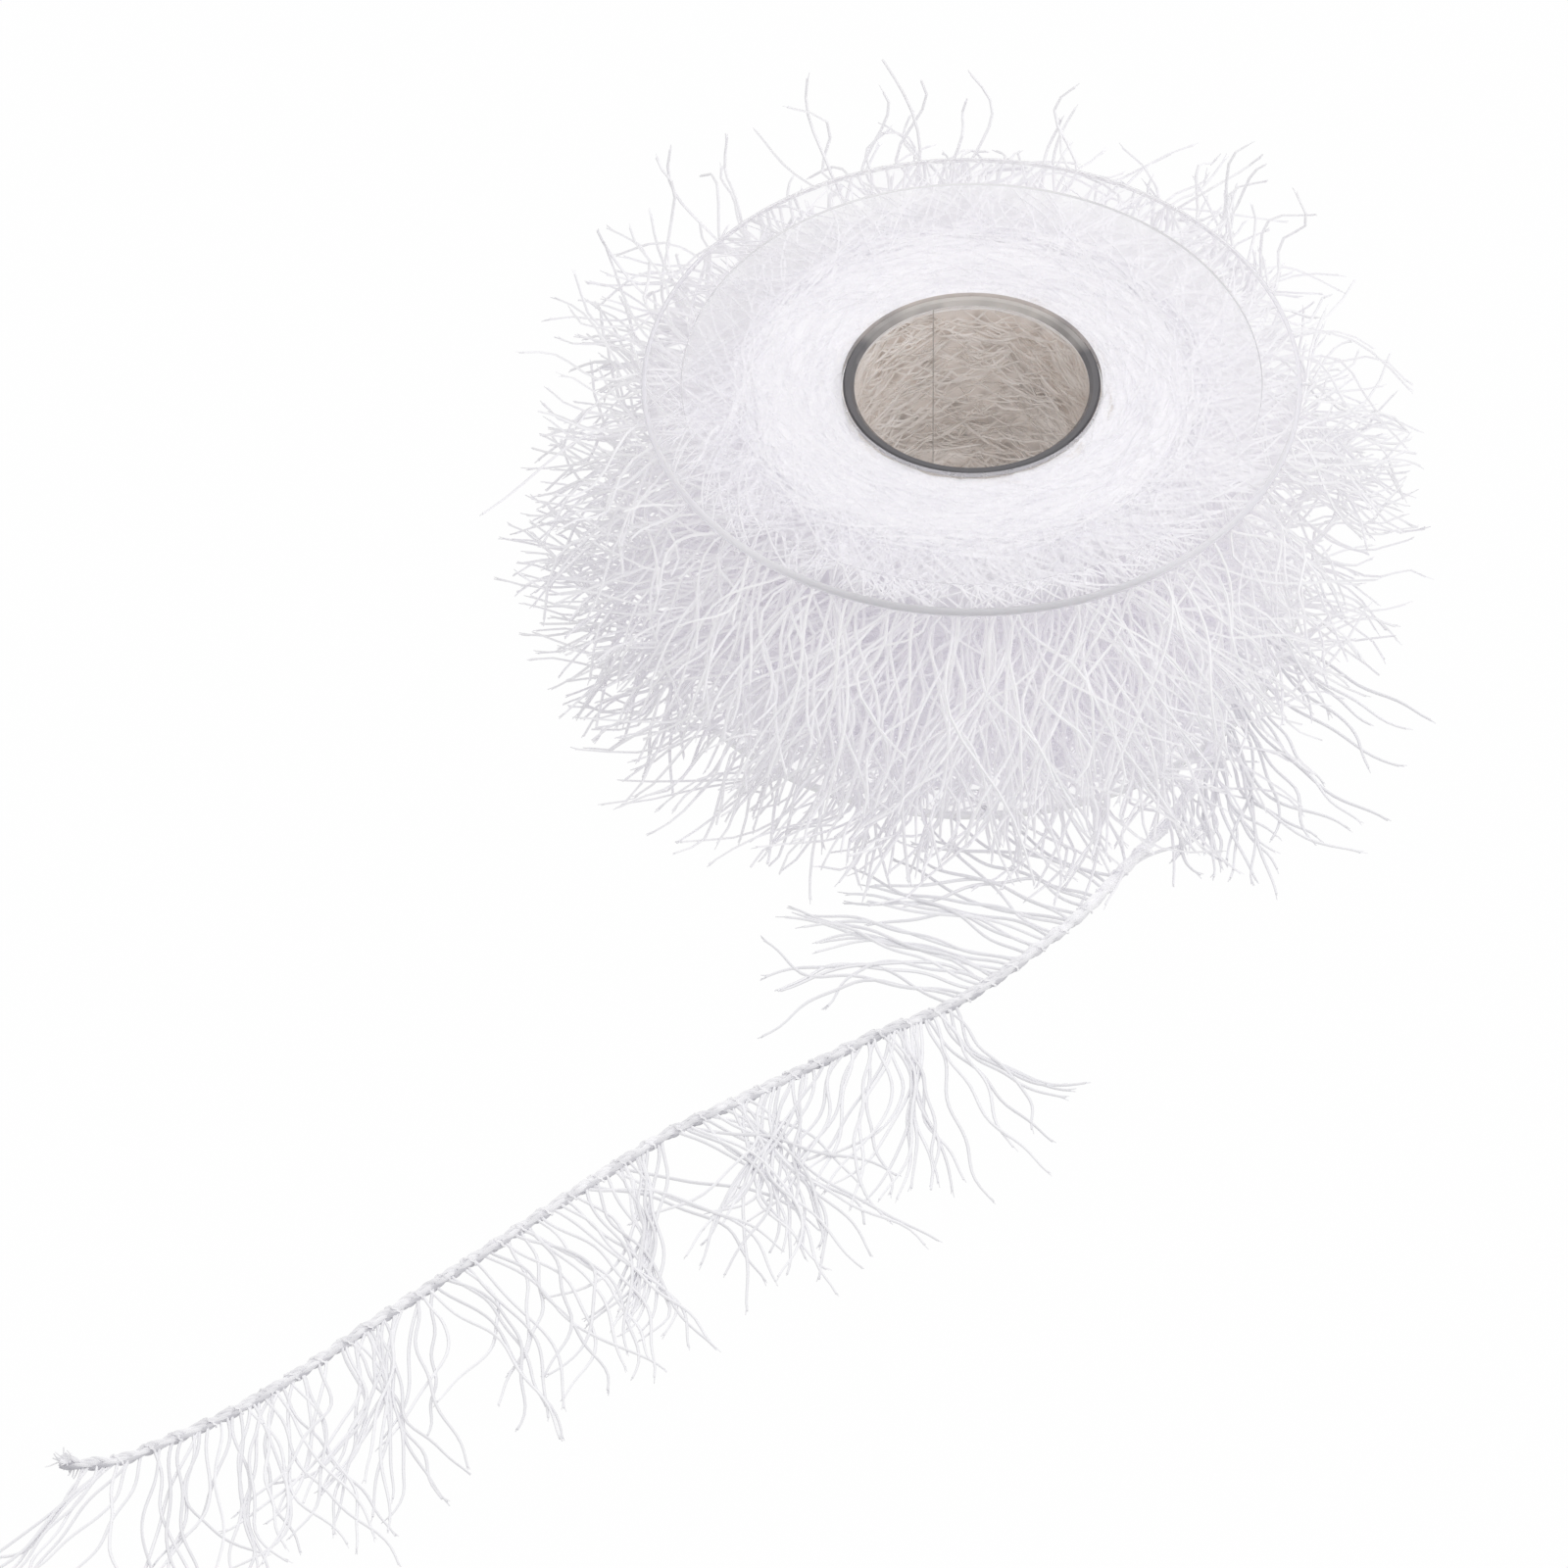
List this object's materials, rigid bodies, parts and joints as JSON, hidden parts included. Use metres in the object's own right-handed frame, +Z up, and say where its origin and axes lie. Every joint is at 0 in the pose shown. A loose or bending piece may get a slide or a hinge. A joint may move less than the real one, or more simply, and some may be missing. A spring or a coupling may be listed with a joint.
{
  "type": "eyelash fringe trim on a clear spool",
  "caption": "White eyelash fringe trim wound on a clear flanged spool with an open bore; a loose end of chain-stitched header and fringe lies in front.",
  "frame": {"origin": "on the spool's axis, where its base meets the surface it stands on", "axes": "+Z up along the spool's axis, -Y towards the side where the loose end lies, +X to the right seen from there"},
  "size_m": [0.2175, 0.2918, 0.0524],
  "materials": {
    "clear_plastic": "clear, polished",
    "white_yarn": "soft, slightly silky"
  },
  "bodies": {
    "root": {"bottom_flange": "clear_plastic", "hub_tube": "clear_plastic", "top_flange": "clear_plastic", "wound_roll": "white_yarn", "roll_fringe_1": "white_yarn", "roll_fringe_2": "white_yarn", "roll_fringe_3": "white_yarn", "roll_fringe_4": "white_yarn", "roll_fringe_5": "white_yarn", "roll_fringe_6": "white_yarn", "tail_header": "white_yarn", "tail_fringe_side": "white_yarn", "tail_fringe_front": "white_yarn", "tail_fringe_back": "white_yarn"}
  },
  "joints": []
}
